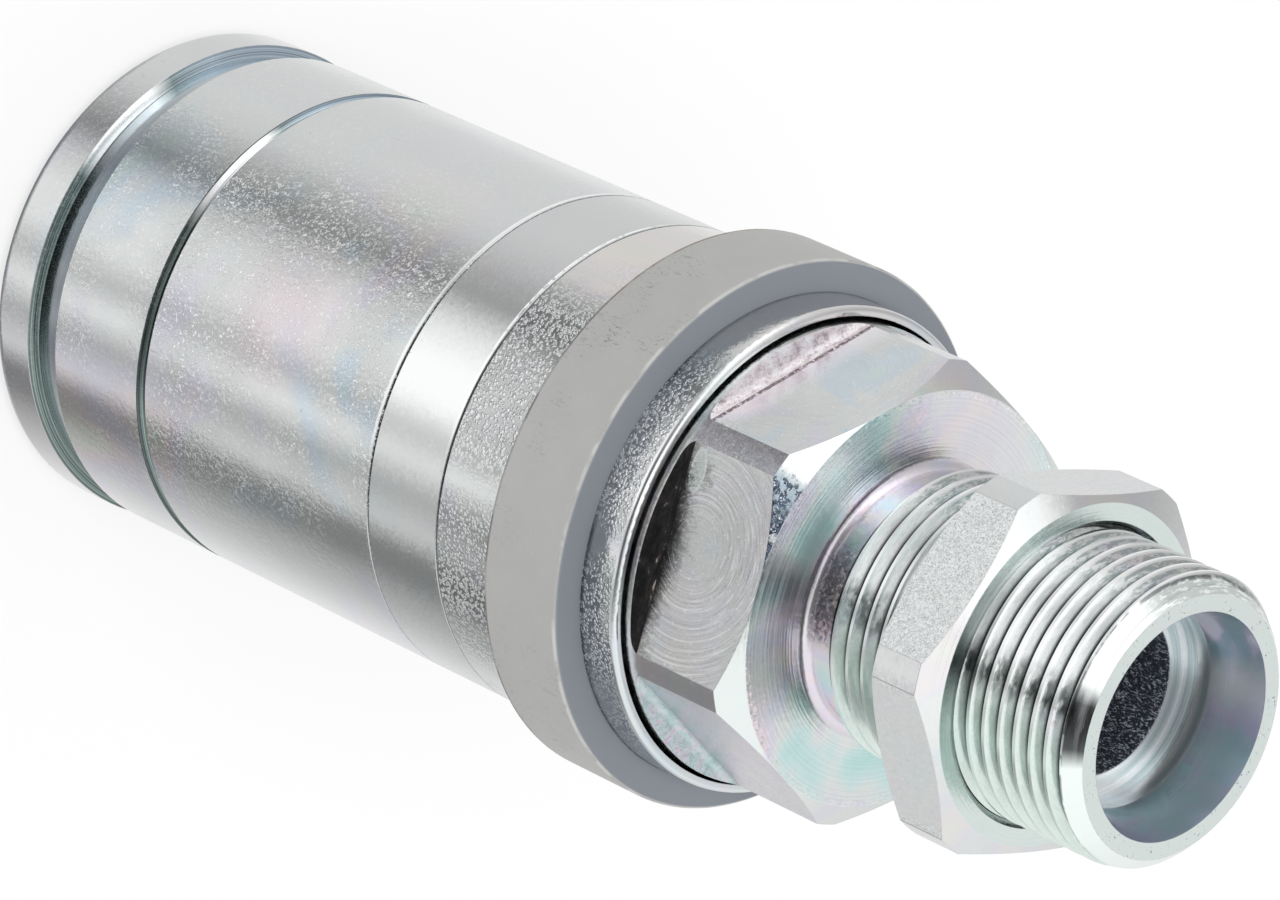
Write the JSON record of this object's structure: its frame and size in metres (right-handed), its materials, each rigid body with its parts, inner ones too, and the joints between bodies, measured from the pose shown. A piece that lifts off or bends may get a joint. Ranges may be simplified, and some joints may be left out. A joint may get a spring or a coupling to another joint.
{
  "type": "push-pull coupling",
  "caption": "Push-pull hydraulic coupling socket with a sliding sleeve, ball lock, valve, rubber ring, milled hexagon and a bulkhead thread with lock nut and tube cone.",
  "frame": {"origin": "middle of the socket mouth face, on the surface that the part stands on", "axes": "+Z along the coupling's axis from the socket mouth to the threaded tube end; +X through one corner of the milled hexagon"},
  "size_m": [0.0422, 0.0422, 0.1077],
  "materials": {
    "zinc_steel": "bright zinc plated",
    "plain_steel": "turned",
    "spring_steel": "drawn wire",
    "ball_steel": "polished",
    "grey_rubber": "matt",
    "black_rubber": "matt",
    "white_plastic": "matt"
  },
  "bodies": {
    "coupling_body": {"socket_body": "plain_steel", "nose_clip": "plain_steel", "nose_washer": "plain_steel", "locking_balls": "ball_steel", "probe_o_ring": "black_rubber", "probe_backup_ring": "white_plastic", "joint_o_ring": "black_rubber", "front_spring": "spring_steel", "rear_spring": "spring_steel", "valve_spring": "spring_steel", "valve_guide": "plain_steel", "adapter_body": "zinc_steel"},
    "sleeve": {"front_sleeve": "zinc_steel", "sleeve_band": "zinc_steel", "rear_sleeve": "zinc_steel", "rubber_ring": "grey_rubber", "locking_ring": "plain_steel", "locking_ring_clip": "plain_steel", "dust_seal": "black_rubber"},
    "valve": {"valve_nose": "plain_steel", "valve_poppet": "plain_steel", "valve_seal": "black_rubber"},
    "nut": {"lock_nut": "zinc_steel"}
  },
  "joints": [
    {"name": "sleeve_slide", "type": "slide", "parent": "coupling_body", "child": "sleeve", "axis": [0, 0, 1], "range_m": [-0.005, 0.005], "stiffness_N_per_m": 6000, "springref_m": 0.0004, "deforming": ["front_spring", "rear_spring"]},
    {"name": "valve_slide", "type": "slide", "parent": "coupling_body", "child": "valve", "axis": [0, 0, 1], "range_m": [0, 0.005], "stiffness_N_per_m": 2000, "springref_m": -0.004, "deforming": ["valve_spring"]},
    {"name": "lock_nut_turn", "type": "hinge", "parent": "coupling_body", "child": "nut", "pos_m": [0, 0, 0.0938], "axis": [0, 0, 1], "range_deg": [-1650, 2340]}
  ]
}
